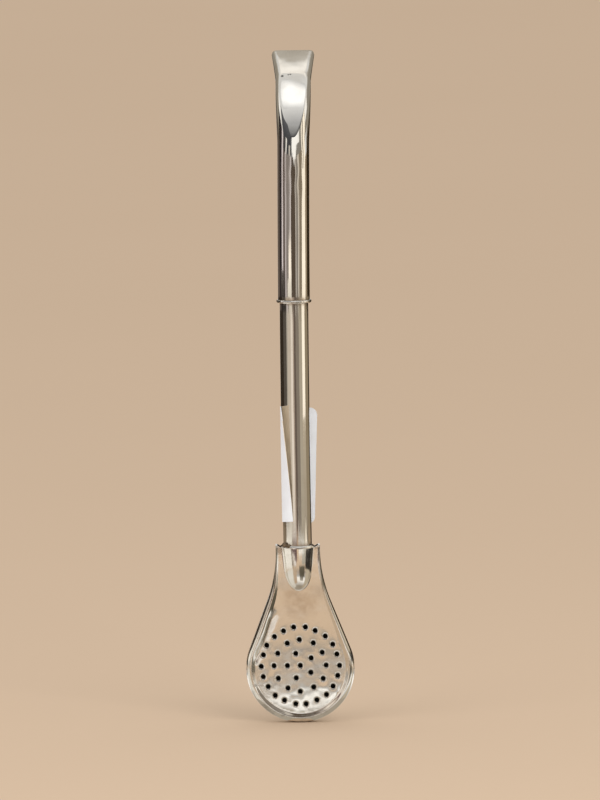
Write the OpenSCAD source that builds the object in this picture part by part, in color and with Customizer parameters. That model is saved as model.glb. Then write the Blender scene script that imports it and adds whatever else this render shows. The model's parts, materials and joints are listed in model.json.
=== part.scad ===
// Bombilla: a polished nickel silver straw for mate, with a flat perforated strainer at its foot.
// The stem stands along +Z, the perforated face looks towards -Y and the mouthpiece leans back to +Y.
// The origin is the lowest point of the strainer, below the axis of the stem.

/* [Stem] */
// Outside diameter of the lower stem
stem_d = 8.1; // [7:0.1:9.5]
// Wall of the lower stem
stem_wall = 0.5; // [0.3:0.05:0.8]
// Length of stem between the neck of the strainer and the ring
stem_show = 69; // [45:1:110]
// Length of stem that runs up inside the upper tube
sleeve_lap = 14; // [8:1:24]
// Play between the stem and the upper tube, on the radius
sleeve_gap = 0.05; // [0.02:0.01:0.15]

/* [Ring] */
// Thickness of the wire that the ring is bent from
ring_wire = 0.9; // [0.6:0.1:1.6]

/* [Upper tube] */
// Wall of the upper tube
upper_wall = 0.4; // [0.3:0.05:0.7]
// Round straight length above the ring
upper_straight = 27.3; // [20:0.1:60]
// Straight length over which the front begins to flatten
flat_run = 9; // [5:1:20]

/* [Mouthpiece] */
// Radius of the bend on the centre line
bend_r = 29; // [20:1:45]
// Angle of the bend
bend_angle = 58; // [20:1:75]
// Depth of the flat that the bend leaves on the front
bend_flat = 1.7; // [0.8:0.1:2.2]
// Length of the pressed lip
lip_len = 12; // [8:0.5:20]
// Thickness of the lip at its end
lip_t = 3.7; // [2.6:0.1:5]

/* [Strainer outline] */
// Radius of the round lower end
paddle_r = 15.4; // [13:0.1:19]
// Height from the lowest point to the top of the neck
paddle_h = 50.6; // [46:0.2:64]
// Width of the neck
neck_w = 12.3; // [11.4:0.1:15]
// Straight length at the top of the neck
neck_straight = 1.4; // [0.6:0.1:3]
// Roundness of the sweep into the neck, where 1 leaves no straight flank
neck_sweep = 0.78; // [0.4:0.02:0.98]

/* [Strainer section] */
// Thickness of the pressed sheet
shell_wall = 0.5; // [0.35:0.05:0.7]
// Depth of each half, from the seam to its flat face
face_depth = 2.2; // [1.8:0.1:3]
// Width of the pressed rim between the seam and the flat face, round the bowl
rim_w = 2.6; // [2:0.1:3.2]
// Width of that rim at the neck
neck_rim_w = 0.9; // [0.8:0.1:1.4]
// How far the rim stands above the flat face, round the bowl
rim_proud = 0.35; // [0.1:0.05:0.6]
// Where the crest of the rim lies, from 0 at the sheet's own thickness to 1 at the flat face
rim_crest = 0.4; // [0.2:0.05:0.6]
// Thickness of the sheet edge that shows at the seam
seam_edge = 0.35; // [0.2:0.05:0.6]

/* [Socket] */
// Length of the pressed socket that takes the stem
socket_len = 13.3; // [10:0.1:18]
// Play between the stem and its socket, on the radius
socket_gap = 0.05; // [0.02:0.01:0.15]

/* [Holes] */
// Diameter of the strainer holes
hole_d = 1.4; // [0.8:0.1:1.8]
// Flat metal left between the outermost holes and the rim
hole_margin = 0.2; // [0:0.05:1.5]
// Number of holes in the first, second and third circle
hole_counts = [5, 12, 22]; // [3:1:24]
// Turn of the first hole of each circle, from the right-hand side
hole_turns = [180, 90, 98.2]; // [0:0.1:360]
// Height of the middle hole above the middle of the round lower end
hole_rise = 0.9; // [0:0.1:1.5]
// How far a hand-punched hole may stray from its circle
punch_stray = 0.12; // [0:0.02:0.25]

/* [Solder] */
// Depth of the solder in the mouth of the neck
solder_depth = 2; // [1:0.1:4]
// How far the solder lies below the top of the neck
solder_sink = 0.4; // [0.2:0.1:0.9]
// Radius of the lump that the solder left beside the stem
solder_lump = 1.3; // [0.8:0.1:1.8]
// Where that lump lies round the stem
lump_turn = 215; // [0:5:355]

/* [Paper label] */
// Height of the label
label_h = 33.5; // [15:0.5:40]
// Height of the label's foot above the neck
label_gap_h = 6; // [2:0.5:15]
// Thickness of the paper
label_t = 0.15; // [0.1:0.05:0.3]
// Play between the stem and the paper, for its glue
glue_gap = 0.03; // [0.02:0.01:0.1]
// Reach of the loose tab from the middle of the stem, at its foot
tab_foot = 5.1; // [4.8:0.1:9]
// Reach of the loose tab from the middle of the stem, at its top
tab_top = 6.2; // [4.8:0.1:9]
// Radius of the tab's corners
tab_corner = 1.9; // [0.5:0.1:2.5]
// Length of paper that folds forward from the side of the stem
label_fold = 5.4; // [2:0.1:6]
// How far the top of the fold has peeled open, where 0 is stuck down and 1 is straight
label_peel = 0.96; // [0:0.02:0.98]
// How much higher the folded end sits than the tab
label_rise = 1.1; // [0:0.1:2.5]

/* [Hidden] */
$fn = 96;
silver = [0.80, 0.78, 0.74];
dull_silver = [0.68, 0.65, 0.60];
solder_grey = [0.42, 0.38, 0.34];
paper_white = [0.95, 0.95, 0.93];

// Heights along the stem
stem_r = stem_d / 2;
bore_r = stem_r - stem_wall;
ring_h = paddle_h + stem_show + ring_wire / 2;
upper_h = paddle_h + stem_show + ring_wire;
upper_r = stem_r + sleeve_gap + upper_wall;
sleeve_r = stem_r + sleeve_gap;
flat_h = upper_h + upper_straight;

// Socket: a half tube with a ball end, pressed into each shell
socket_r = stem_r + socket_gap;
bulge_r = socket_r + shell_wall;
rim_r = socket_r + shell_wall / 2;
socket_h = paddle_h - socket_len + bulge_r;

// Outline of the strainer: a round bowl, a straight flank on each side and a hollow sweep up to the neck.
// The flank is the common tangent of the bowl's circle and the sweep's circle.
neck_r = neck_w / 2;
neck_h = paddle_h - neck_straight;
rise = neck_h - paddle_r;
sweep_r = neck_sweep * (neck_r ^ 2 + rise ^ 2 - paddle_r ^ 2) / (2 * (paddle_r - neck_r));
sweep_x = neck_r + sweep_r;
flank_a = atan2(rise, sweep_x) - acos((paddle_r + sweep_r) / norm([sweep_x, rise]));
bowl_steps = 20;
sweep_steps = 8;
round_steps = 5;
fall_steps = 4;
section_steps = round_steps + fall_steps;
beyond = 1;

// Holes: as many evenly spaced circles as there are counts, inside the flat face
hole_centre_h = paddle_r + hole_rise;
hole_room = paddle_r - rim_w - hole_margin - hole_rise - hole_d / 2;
hole_pitch = hole_room / len(hole_counts);

// Mouthpiece loft: rings along the centre line, each a pair of half superellipses
bend_len = bend_r * bend_angle * PI / 180;
lip_start = flat_run + bend_len;
lip_flat = upper_r - lip_t / 2;
loft_lap = 0.6;
loft_ease = 0.08;
loft_sides = 40;
run_steps = 4;
bend_steps = 16;
lip_steps = 5;
// A flattened tube keeps its girth, so each millimetre pressed in goes sideways by this much in all
spread = PI / 2 - 1;
// Corner sharpness that each millimetre of flattening adds to the round section
squareness = 1.4;

// Label sheet: a tab behind the stem, a quarter turn round it, and a fold that peels open upwards
label_r = stem_r + glue_gap + label_t / 2;
label_foot_h = paddle_h + label_gap_h;
label_turn = label_r * PI / 2;
tab_steps = 10;
turn_steps = 10;
fold_steps = 8;
height_steps = 12;

function clamp(x) = min(max(x, 0), 1);
function ease(x) = let (t = clamp(x)) t * t * (3 - 2 * t);
function power(x, p) = sign(x) * abs(x) ^ p;

// How far along the lip a place lies, from 0 at its start to 1 at its end
function lip_share(s) = clamp((s - lip_start) / lip_len);
function front_flat(s) =
    bend_flat * ease(s / (flat_run + bend_len / 2)) + (lip_flat - bend_flat) * lip_share(s);
function back_flat(s) = lip_flat * lip_share(s);
function lean(s) = bend_angle * clamp((s - flat_run) / bend_len);

// Middle of the tube at the length s above the round straight part
function centre(s) =
    let (
        a = lean(s),
        run = min(s, flat_run),
        past = max(s - lip_start, 0)
    )
    [
        0,
        bend_r * (1 - cos(a)) + past * sin(a),
        flat_h + run + bend_r * sin(a) + past * cos(a)
    ];

// One ring of the tube's wall, where inset 0 is its outside
function tube_ring(s, inset) =
    let (
        a = lean(s),
        c = centre(s),
        front = front_flat(s),
        back = back_flat(s),
        half_w = upper_r + spread * (front + back) / 2 - inset
    )
    [
        for (i = [0 : loft_sides - 1])
        let (
            turn = 360 * (i + 0.5) / loft_sides,
            flat = turn < 180 ? front : back,
            p = 2 / (2 + squareness * flat),
            x = half_w * power(cos(turn), p),
            y = (upper_r - flat - inset) * power(sin(turn), p)
        )
        c + [x, -y * cos(a), y * sin(a)]
    ];

// Lengths at which the loft has a ring, after the one that is sunk in the straight tube's wall
loft_places = concat(
    [loft_lap],
    [for (i = [1 : run_steps]) loft_lap + (flat_run - loft_lap) * i / run_steps],
    [for (i = [1 : bend_steps]) flat_run + bend_len * i / bend_steps],
    [for (i = [1 : lip_steps]) lip_start + lip_len * i / lip_steps]
);

// A sheet with two sides and four edges, from a grid of columns and rows
function sheet_faces(columns, rows) =
    let (
        under = columns * rows,
        rim = concat(
            [for (i = [0 : columns - 2]) i],
            [for (j = [0 : rows - 2]) j * columns + columns - 1],
            [for (i = [columns - 1 : -1 : 1]) (rows - 1) * columns + i],
            [for (j = [rows - 1 : -1 : 1]) j * columns]
        )
    )
    [
        for (j = [0 : rows - 2], i = [0 : columns - 2])
        let (
            a = j * columns + i,
            b = a + 1,
            c = b + columns,
            d = a + columns
        )
        each [
            [a, b, c],
            [a, c, d],
            [under + a, under + c, under + b],
            [under + a, under + d, under + c]
        ],
        for (k = [0 : len(rim) - 1])
        let (
            a = rim[k],
            b = rim[(k + 1) % len(rim)]
        )
        each [[b, a, under + a], [b, under + a, under + b]]
    ];

// Two walls of rings, joined at both ends
function wall_faces(rings, sides) =
    let (inner = rings * sides)
    [
        for (r = [0 : rings - 2], i = [0 : sides - 1])
        let (
            j = (i + 1) % sides,
            a = r * sides + i,
            b = r * sides + j,
            c = b + sides,
            d = a + sides
        )
        each [
            [a, b, c],
            [a, c, d],
            [inner + a, inner + c, inner + b],
            [inner + a, inner + d, inner + c]
        ],
        for (i = [0 : sides - 1])
        let (
            j = (i + 1) % sides,
            end = (rings - 1) * sides
        )
        each [
            [j, i, inner + i],
            [j, inner + i, inner + j],
            [end + i, end + j, inner + end + j],
            [end + i, inner + end + j, inner + end + i]
        ]
    ];

module mouthpiece_loft() {
    outer = [
        tube_ring(-loft_lap, loft_ease),
        for (s = loft_places) tube_ring(s, 0)
    ];
    inner = [
        tube_ring(-loft_lap, upper_wall - loft_ease),
        for (s = loft_places) tube_ring(s, upper_wall)
    ];
    rings = len(outer);
    points = [for (ring = concat(outer, inner)) each ring];
    polyhedron(points, wall_faces(rings, loft_sides));
}

module tube(r_out, r_in, length) {
    difference() {
        cylinder(r = r_out, h = length);
        translate([0, 0, -beyond]) cylinder(r = r_in, h = length + 2 * beyond);
    }
}

module upper_tube() {
    color(silver) {
        translate([0, 0, upper_h]) tube(upper_r, sleeve_r, upper_straight);
        mouthpiece_loft();
    }
}

module joint_ring() {
    color(dull_silver)
    translate([0, 0, ring_h])
    rotate_extrude()
    translate([stem_r + ring_wire / 2, 0])
    circle(d = ring_wire, $fn = 32);
}

module lower_stem() {
    color(silver)
    translate([0, 0, socket_h])
    tube(stem_r, bore_r, upper_h + sleeve_lap - socket_h);
}

// Right-hand half of the strainer's outline, from the bottom to the top: [x, y, inward x, inward y]
function bowl_place(a) = [paddle_r * cos(a), paddle_r + paddle_r * sin(a), -cos(a), -sin(a)];
function sweep_place(a) = [sweep_x - sweep_r * cos(a), neck_h - sweep_r * sin(a), -cos(a), -sin(a)];
right_places = concat(
    [for (i = [0 : bowl_steps]) bowl_place(-90 + (90 + flank_a) * i / bowl_steps)],
    [for (i = [sweep_steps : -1 : 0]) sweep_place(flank_a * i / sweep_steps)],
    [[neck_r, paddle_h, -1, 0]]
);
outline_places = concat(
    [for (i = [len(right_places) - 1 : -1 : 1]) let (p = right_places[i]) [-p[0], p[1], -p[2], p[3]]],
    right_places
);

// The rim is full round the bowl and narrows with the outline up to the neck
function rim_at(p) =
    let (widen = clamp((abs(p[0]) - neck_r) / (paddle_r - neck_r)))
    p[1] < paddle_r ? rim_w : neck_rim_w + (rim_w - neck_rim_w) * sqrt(widen);

// Section of a rim of the width w: x runs inwards from the outline and y outwards from the seam.
// It rounds up from the seam to the crest, and falls from there to the flat face.
function crest_at(w) = shell_wall + rim_crest * (w - shell_wall);
function rim_rise(w) = rim_proud * w / rim_w;
function rim_fall(w, t) =
    [crest_at(w) + (w - crest_at(w)) * t, face_depth + rim_rise(w) * (1 + cos(180 * t)) / 2];
function edge_outside(w, i) =
    let (a = 90 * (i - 1) / (round_steps - 1))
    i == 0 ? [0, 0]
    : i > round_steps ? rim_fall(w, (i - round_steps) / fall_steps)
    : [crest_at(w) * (1 - cos(a)), seam_edge + (face_depth + rim_rise(w) - seam_edge) * sin(a)];
function edge_inside(w, i) =
    let (a = 90 * i / round_steps)
    i > round_steps ? rim_fall(w, (i - round_steps) / fall_steps) - [0, shell_wall]
    : [
        shell_wall + (crest_at(w) - shell_wall) * (1 - cos(a)),
        (face_depth + rim_rise(w) - shell_wall) * sin(a)
    ];
function edge_point(p, section) = [p[0] + section.x * p[2], p[1] + section.x * p[3], section.y];

// Pressed edge of a shell, from the left-hand end of the neck round the bowl to the right-hand end
module pressed_edge() {
    columns = [0 : section_steps];
    outside = [for (p = outline_places, i = columns) edge_point(p, edge_outside(rim_at(p), i))];
    inside = [for (p = outline_places, i = columns) edge_point(p, edge_inside(rim_at(p), i))];
    polyhedron(concat(outside, inside), sheet_faces(section_steps + 1, len(outline_places)));
}

module face_plate() {
    translate([0, 0, face_depth - shell_wall])
    linear_extrude(height = shell_wall)
    polygon([for (p = outline_places) let (w = rim_at(p)) [p[0] + w * p[2], p[1] + w * p[3]]]);
}

// Solid with a ball end that stands for the inside or the outside of the socket
module socket_form(r, length) {
    translate([0, socket_h, 0]) {
        sphere(r = r);
        rotate([-90, 0, 0]) cylinder(r = r, h = length);
    }
}

// Bulge of the socket, as far as it stands above the inside of the flat face
module socket_bulge() {
    intersection() {
        socket_form(bulge_r, paddle_h - socket_h);
        translate([-bulge_r, 0, face_depth - shell_wall]) cube([2 * bulge_r, paddle_h, bulge_r]);
    }
}

// One pressed half of the strainer: x across, y up and z outwards from the seam
module pressed_half() {
    difference() {
        union() {
            face_plate();
            pressed_edge();
            socket_bulge();
        }
        socket_form(socket_r, paddle_h);
    }
}

// Places of the holes: a middle one and the circles, each a little astray as punched by hand
function hole_places() =
    [
        [0, hole_centre_h],
        for (k = [0 : len(hole_counts) - 1], i = [0 : hole_counts[k] - 1])
        let (
            r = (k + 1) * hole_pitch + punch_stray * sin(137 * i + 40 * k),
            stray = punch_stray / r * 180 / PI * sin(211 * i + 75 * k),
            a = hole_turns[k] + 360 * i / hole_counts[k] + stray
        )
        [r * cos(a), hole_centre_h + r * sin(a)]
    ];

module front_shell() {
    color(silver)
    rotate([90, 0, 0])
    difference() {
        pressed_half();
        for (p = hole_places())
        translate([p.x, p.y, 0])
        cylinder(d = hole_d, h = face_depth + beyond, $fn = 24);
    }
}

module back_shell() {
    color(dull_silver)
    mirror([0, 1, 0])
    rotate([90, 0, 0])
    pressed_half();
}

// Hollow of the neck between the two shells, seen along the stem
module neck_hollow() {
    quarter = [for (i = [0 : section_steps]) let (s = edge_inside(neck_rim_w, i)) [neck_r - s.x, s.y]];
    half = concat(quarter, [for (i = [section_steps : -1 : 0]) [-quarter[i].x, quarter[i].y]]);
    below = [for (i = [len(half) - 2 : -1 : 1]) [half[i].x, -half[i].y]];
    polygon(concat(half, below));
}

// Drop of solder that set on the rim of the neck
module solder_drop() {
    translate([rim_r * cos(lump_turn), rim_r * sin(lump_turn), paddle_h])
    rotate_extrude($fn = 48)
    intersection() {
        circle(r = solder_lump);
        square(solder_lump);
    }
}

module solder_plugs() {
    translate([0, 0, paddle_h - solder_sink - solder_depth])
    linear_extrude(height = solder_depth)
    difference() {
        neck_hollow();
        circle(r = stem_r);
    }
}

module neck_solder() {
    color(solder_grey) {
        solder_plugs();
        difference() {
            solder_drop();
            cylinder(r = stem_r, h = paddle_h + 2 * solder_lump);
        }
    }
}

// Where the sheet of the label lies, seen from above: [x, y, outward x, outward y].
// u is the length along the paper from the back of the stem and peel is 0 where it is stuck down.
function label_plan(u, peel) =
    u < 0 ? [-u, label_r, 0, 1]
    : u < label_turn ? let (a = 90 + 90 * u / label_turn) [label_r * cos(a), label_r * sin(a), cos(a), sin(a)]
    : let (
        bend = (1 - peel) / label_r,
        b = (u - label_turn) * bend * 180 / PI
    )
    [-label_r + (1 - cos(b)) / bend, -sin(b) / bend, -cos(b), -sin(b)];

// How far the tab's round corner takes its end down at the distance d from its edge
function corner_drop(d) = d > tab_corner ? 0 : tab_corner - sqrt(tab_corner ^ 2 - (tab_corner - d) ^ 2);

label_rows = [for (j = [0 : height_steps]) j / height_steps];
label_columns = concat(
    [for (i = [0 : tab_steps]) -(1 - i / tab_steps) ^ 2],
    [for (i = [1 : turn_steps]) i / turn_steps],
    [for (i = [1 : fold_steps]) 1 + i / fold_steps]
);

function label_point(column, row, side) =
    let (
        tab = tab_foot + (tab_top - tab_foot) * row,
        past = label_turn + (column - 1) * label_fold,
        u = column < 0 ? column * tab : column < 1 ? column * label_turn : past,
        p = label_plan(u, label_peel * row),
        drop = corner_drop(u + tab),
        lift = label_rise * (u + tab) / (tab + label_turn + label_fold),
        z = label_foot_h + drop + (label_h - 2 * drop) * row + lift,
        off = side * label_t / 2
    )
    [p[0] + off * p[2], p[1] + off * p[3], z];

module paper_label() {
    points = [
        for (side = [-1, 1], row = label_rows, column = label_columns) label_point(column, row, side)
    ];
    color(paper_white) polyhedron(points, sheet_faces(len(label_columns), len(label_rows)));
}

upper_tube();
joint_ring();
lower_stem();
front_shell();
back_shell();
neck_solder();
paper_label();
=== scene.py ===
import json
import math

import bmesh
import bpy
from mathutils import Matrix, Vector, kdtree, noise
from mathutils.geometry import delaunay_2d_cdt

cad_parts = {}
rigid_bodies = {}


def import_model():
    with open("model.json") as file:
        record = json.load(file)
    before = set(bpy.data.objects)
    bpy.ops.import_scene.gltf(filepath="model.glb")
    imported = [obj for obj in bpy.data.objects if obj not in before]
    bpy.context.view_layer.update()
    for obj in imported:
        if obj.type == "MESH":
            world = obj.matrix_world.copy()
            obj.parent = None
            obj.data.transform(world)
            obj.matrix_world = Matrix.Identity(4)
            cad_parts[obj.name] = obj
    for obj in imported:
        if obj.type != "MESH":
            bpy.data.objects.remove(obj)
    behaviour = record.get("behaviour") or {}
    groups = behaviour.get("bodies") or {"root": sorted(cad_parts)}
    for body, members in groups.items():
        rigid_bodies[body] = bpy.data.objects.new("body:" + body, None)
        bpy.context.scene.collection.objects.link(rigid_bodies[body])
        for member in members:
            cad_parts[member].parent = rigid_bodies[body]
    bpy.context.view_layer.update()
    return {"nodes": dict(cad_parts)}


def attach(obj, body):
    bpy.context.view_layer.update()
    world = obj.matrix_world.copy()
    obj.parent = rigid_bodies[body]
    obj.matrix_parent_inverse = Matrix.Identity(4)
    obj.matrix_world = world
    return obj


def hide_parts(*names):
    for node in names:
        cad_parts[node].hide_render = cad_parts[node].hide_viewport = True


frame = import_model()
mm = 0.001  # lengths of the pieces are in millimetres, those of finishes, cards and lamps in metres
scene = bpy.context.scene
print("frame loaded:", sorted(frame["nodes"]))


def clamp(x):
    return min(max(x, 0.0), 1.0)


def ease(x):
    t = clamp(x)
    return t * t * (3 - 2 * t)


def clearSelection():
    if bpy.context.object and bpy.context.object.mode != "OBJECT":
        bpy.ops.object.mode_set(mode="OBJECT")
    bpy.ops.object.select_all(action="DESELECT")


def takeUp(piece):
    clearSelection()
    piece.select_set(True)
    bpy.context.view_layer.objects.active = piece


def nameIt(name):
    piece = bpy.context.object
    piece.name = piece.data.name = name
    bpy.ops.object.transform_apply(location=True, rotation=True, scale=True)
    return piece


def editPiece(piece, kind="EDGE"):
    takeUp(piece)
    bpy.ops.object.mode_set(mode="EDIT")
    bpy.ops.mesh.select_mode(type=kind)


def pick(piece, kind, test):
    bpy.ops.mesh.select_all(action="DESELECT")
    shape = bmesh.from_edit_mesh(piece.data)
    for part in getattr(shape, kind):
        if test(part):
            part.select_set(True)
    bmesh.update_edit_mesh(piece.data)


def leaveEdit():
    bpy.ops.object.mode_set(mode="OBJECT")


def useModifier(piece, kind, **settings):
    takeUp(piece)
    modifier = piece.modifiers.new(kind.title(), kind)
    for name, value in settings.items():
        setattr(modifier, name, value)
    bpy.ops.object.modifier_apply(modifier=modifier.name)


def roundEdges(piece, width, segments):
    useModifier(
        piece, "BEVEL", width=width * mm, segments=segments,
        limit_method="ANGLE", angle_limit=math.radians(60),
    )


def moveEach(piece, place):
    for vertex in piece.data.vertices:
        vertex.co = place(vertex.co)
    piece.data.update()


def smoothPiece(piece, angle=38):
    takeUp(piece)
    bpy.ops.object.shade_smooth_by_angle(angle=math.radians(angle))


bow = {"most": -0.62, "foot": 15, "top": 185}


# the whole straw is bowed a little to the left, so each piece follows the same line
def bowed(p):
    along = clamp((p.z / mm - bow["foot"]) / (bow["top"] - bow["foot"]))
    return Vector((p.x + bow["most"] * mm * math.sin(math.pi * along), p.y, p.z))


def handOver(piece, node, slot, *finishes):
    moveEach(piece, bowed)
    piece.data.materials.clear()
    for finish in finishes:
        piece.data.materials.append(finish)
    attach(piece, "root")
    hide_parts(node)
    print("made", piece.name, len(piece.data.polygons), "faces")


# one value on its way through a finish, so that sums on it read as sums
class Wire:
    def __init__(self, finish, socket):
        self.finish, self.socket = finish, socket

    def maths(self, operation, first, second):
        node = self.finish.add("ShaderNodeMath", {"operation": operation}, {0: first, 1: second})
        return Wire(self.finish, node.outputs[0])

    def __add__(self, other):
        return self.maths("ADD", self, other)

    def __radd__(self, other):
        return self.maths("ADD", other, self)

    def __sub__(self, other):
        return self.maths("SUBTRACT", self, other)

    def __rsub__(self, other):
        return self.maths("SUBTRACT", other, self)

    def __mul__(self, other):
        return self.maths("MULTIPLY", self, other)

    def __rmul__(self, other):
        return self.maths("MULTIPLY", other, self)


class Finish:
    def __init__(self, name):
        self.look = bpy.data.materials.new(name)
        self.look.use_nodes = True
        self.tree = self.look.node_tree
        self.surface = self.tree.nodes["Principled BSDF"]
        self.place = Wire(self, self.add("ShaderNodeTexCoord").outputs["Object"])

    def add(self, kind, settings=None, inputs=None):
        node = self.tree.nodes.new(kind)
        for name, value in (settings or {}).items():
            setattr(node, name, value)
        for key, value in (inputs or {}).items():
            self.feed(node.inputs[key], value)
        return node

    def feed(self, socket, value):
        if isinstance(value, Wire):
            self.tree.links.new(value.socket, socket)
        else:
            socket.default_value = value

    def set(self, **sockets):
        for name, value in sockets.items():
            self.feed(self.surface.inputs[name.replace("_", " ")], value)

    # noise with so many lumps to the metre, drawn out along an axis by a small stretch there
    def grain(self, scale, stretch=(1, 1, 1), turn=(0, 0, 0), detail=3.0):
        turned = self.add("ShaderNodeMapping", {}, {"Vector": self.place, "Rotation": turn, "Scale": stretch})
        where = Wire(self, turned.outputs[0])
        lumps = self.add("ShaderNodeTexNoise", {}, {"Vector": where, "Scale": scale, "Detail": detail})
        return Wire(self, lumps.outputs[0])

    # mask that runs from 0 at low to 1 at high, and stays there beyond them
    def between(self, value, low, high):
        ends = {"Value": value, "From Min": low, "From Max": high}
        return Wire(self, self.add("ShaderNodeMapRange", {"clamp": True}, ends).outputs[0])

    # a value without its sign
    def size(self, value):
        return Wire(self, self.add("ShaderNodeMath", {"operation": "ABSOLUTE"}, {0: value}).outputs[0])

    def blend(self, mask, first, second):
        node = self.add("ShaderNodeMix", {"data_type": "RGBA"}, {0: mask, 6: first, 7: second})
        return Wire(self, node.outputs[2])

    def axis(self, name):
        return Wire(self, self.add("ShaderNodeSeparateXYZ", {}, {0: self.place}).outputs[name])

    # mask that is 1 close to a point and fades out over the reach
    def near(self, point, reach):
        away = self.add("ShaderNodeVectorMath", {"operation": "DISTANCE"}, {0: self.place, 1: point})
        return self.between(Wire(self, away.outputs["Value"]), reach, 0.4 * reach)

    # mask that is 1 in the middle of an oval and fades out to its edge
    def oval(self, middle, across, along):
        where = self.add(
            "ShaderNodeMapping", {"vector_type": "TEXTURE"},
            {"Vector": self.place, "Location": middle, "Scale": (across, along, 1)},
        )
        out = self.add("ShaderNodeVectorMath", {"operation": "LENGTH"}, {0: Wire(self, where.outputs[0])})
        return self.between(Wire(self, out.outputs["Value"]), 1, 0.5)

    def bump(self, height, distance, under=None):
        inputs = {"Height": height, "Distance": distance, "Strength": 1.0}
        if under:
            inputs["Normal"] = under
        return Wire(self, self.add("ShaderNodeBump", {}, inputs).outputs[0])


silver = {
    "bright": (0.85, 0.825, 0.775, 1),
    "worn": (0.71, 0.67, 0.605, 1),
    "smudge": (0.40, 0.375, 0.34, 1),
    # painted shade under the socket
    "brown": (0.50, 0.41, 0.31, 1),
    # painted dark reflection along the rim
    "darkReflection": (0.20, 0.175, 0.125, 1),
    "brownTone": (0.26, 0.165, 0.085, 1),
    "speck": (0.06, 0.055, 0.05, 1),
    "filed": (0.93, 0.915, 0.88, 1),
    "gloss": 0.05,
}


# drawn tube: fine lines and slow waves along it, smudges from handling, brown bands at given levels
def makeTubeSilver(name, brownLevels, specks=()):
    f = Finish(name)
    smudge = f.between(f.grain(scale=170, stretch=(1, 1, 0.6), detail=5), low=0.45, high=0.72)
    lines = f.grain(scale=5200, stretch=(1, 1, 0.02), detail=2)
    fine = f.grain(scale=9000, stretch=(1, 1, 0.012), turn=(0.02, 0.03, 0), detail=1)
    fine = f.between(fine, low=0.6, high=0.75)
    waves = f.grain(scale=240, stretch=(1, 1, 0.16), detail=1)
    up = f.axis("Z")
    brownBand = 0
    for level, reach in brownLevels:
        brownBand = brownBand + f.between(f.size(up - level), low=reach, high=0)
    brownBand = f.between(brownBand * (0.35 + f.grain(scale=900, detail=4)), low=0.3, high=1.1)
    worn = f.blend(smudge * 0.6 + fine * 0.2, silver["bright"], silver["worn"])
    for point, reach in specks:
        worn = f.blend(f.near(point, reach), worn, silver["speck"])
    f.set(
        Base_Color=f.blend(brownBand * 0.8, worn, silver["brownTone"]),
        Metallic=1.0,
        Roughness=silver["gloss"] + smudge * 0.09 + fine * 0.08 + brownBand * 0.2,
        Normal=f.bump(lines, distance=0.0000012, under=f.bump(waves, distance=0.00003)),
    )
    return f.look


sheetWear = {
    "smudgeAt": (-0.003, -0.002, 0.012), "smudgeReach": 0.019,  # grey, among the holes
    # the next patch is painted shade just under the socket
    "socketShadeAt": (0.001, -0.002, 0.0355), "socketShadeReach": 0.007,  # under the socket
    "neckFrom": 0.0465, "neckTo": 0.0506, "filedFrom": 0.0499, "filedTo": 0.0502,
    # how far each painted line of dark reflection leans across on its way up, where it would cross the floor,
    # and its lowest and highest level
    "darkReflectionLines": (
        (0.33, -0.0182, 0.021, 0.0335),  # in the corner of the rim on the left
        (0.083, -0.01062, 0.037, 0.0512),  # left edge of the neck
        (-0.1, 0.01077, 0.037, 0.0512),  # right edge of the neck
    ),
    "darkReflectionHalf": 0.0007, "darkReflectionCore": 0.0003, "darkReflectionFoot": 0.0025, "darkReflectionTop": 0.0015, "darkReflectionFront": -0.001,
}


# pressed sheet: rubbed scratches both ways, cloudy patches, dirt held in the pits, painted dark reflection
# along the rim and painted shade under the socket
def makeSheetSilver(name):
    w = sheetWear
    f = Finish(name)
    cloud = f.between(f.grain(scale=150, detail=6), low=0.42, high=0.68)
    rubbed = f.grain(scale=4200, stretch=(1, 1, 0.05), turn=(0, 0.5, 0), detail=2)
    crossed = f.grain(scale=3600, stretch=(0.05, 1, 1), turn=(0, 0.35, 0), detail=2)
    pits = f.between(f.grain(scale=2600, detail=2), low=0.66, high=0.74)
    swell = f.grain(scale=210, detail=2)
    smudge = f.grain(scale=330, stretch=(1, 1, 1.5), turn=(0, 0.6, 0), detail=4)
    smudge = f.between(smudge, low=0.53, high=0.66) * f.near(w["smudgeAt"], w["smudgeReach"])
    # painted shade under the socket: a brown patch that fades out round its middle
    brown = f.between(f.grain(scale=260, detail=3), low=0.3, high=0.7)
    brown = brown * f.near(w["socketShadeAt"], w["socketShadeReach"])
    up = f.axis("Z")
    neck = f.between(f.grain(scale=700, detail=4), low=0.45, high=0.7)
    neck = neck * f.between(up, w["neckFrom"], w["neckTo"])
    filed = f.between(up, w["filedFrom"], w["filedTo"])
    # painted dark reflection: thin dark lines along the rim, on the front only
    darkReflection = 0
    for lean, start, low, high in w["darkReflectionLines"]:
        line = f.between(f.size(f.axis("X") - lean * up - start), w["darkReflectionHalf"], w["darkReflectionCore"])
        line = line * f.between(up, low, low + w["darkReflectionFoot"])
        darkReflection = darkReflection + line * f.between(up, high, high - w["darkReflectionTop"])
    darkReflection = darkReflection * f.between(f.axis("Y"), 0, w["darkReflectionFront"])
    worn = f.blend(cloud * 0.5, silver["bright"], silver["worn"])
    worn = f.blend(smudge * 0.6, worn, silver["smudge"])
    # painted shade under the socket
    worn = f.blend(brown * 0.9, worn, silver["brown"])
    # painted dark reflection along the rim
    worn = f.blend(darkReflection * 0.75, worn, silver["darkReflection"])
    worn = f.blend(pits * 0.35 + neck * 0.4, worn, silver["brownTone"])
    f.set(
        Base_Color=f.blend(filed * 0.85, worn, silver["filed"]),
        Metallic=1.0,
        Roughness=silver["gloss"] + 0.03 + cloud * 0.08 + smudge * 0.12 + neck * 0.1 + filed * 0.22,
        Normal=f.bump(rubbed + crossed, distance=0.000001, under=f.bump(swell, distance=0.000025)),
    )
    return f.look


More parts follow.
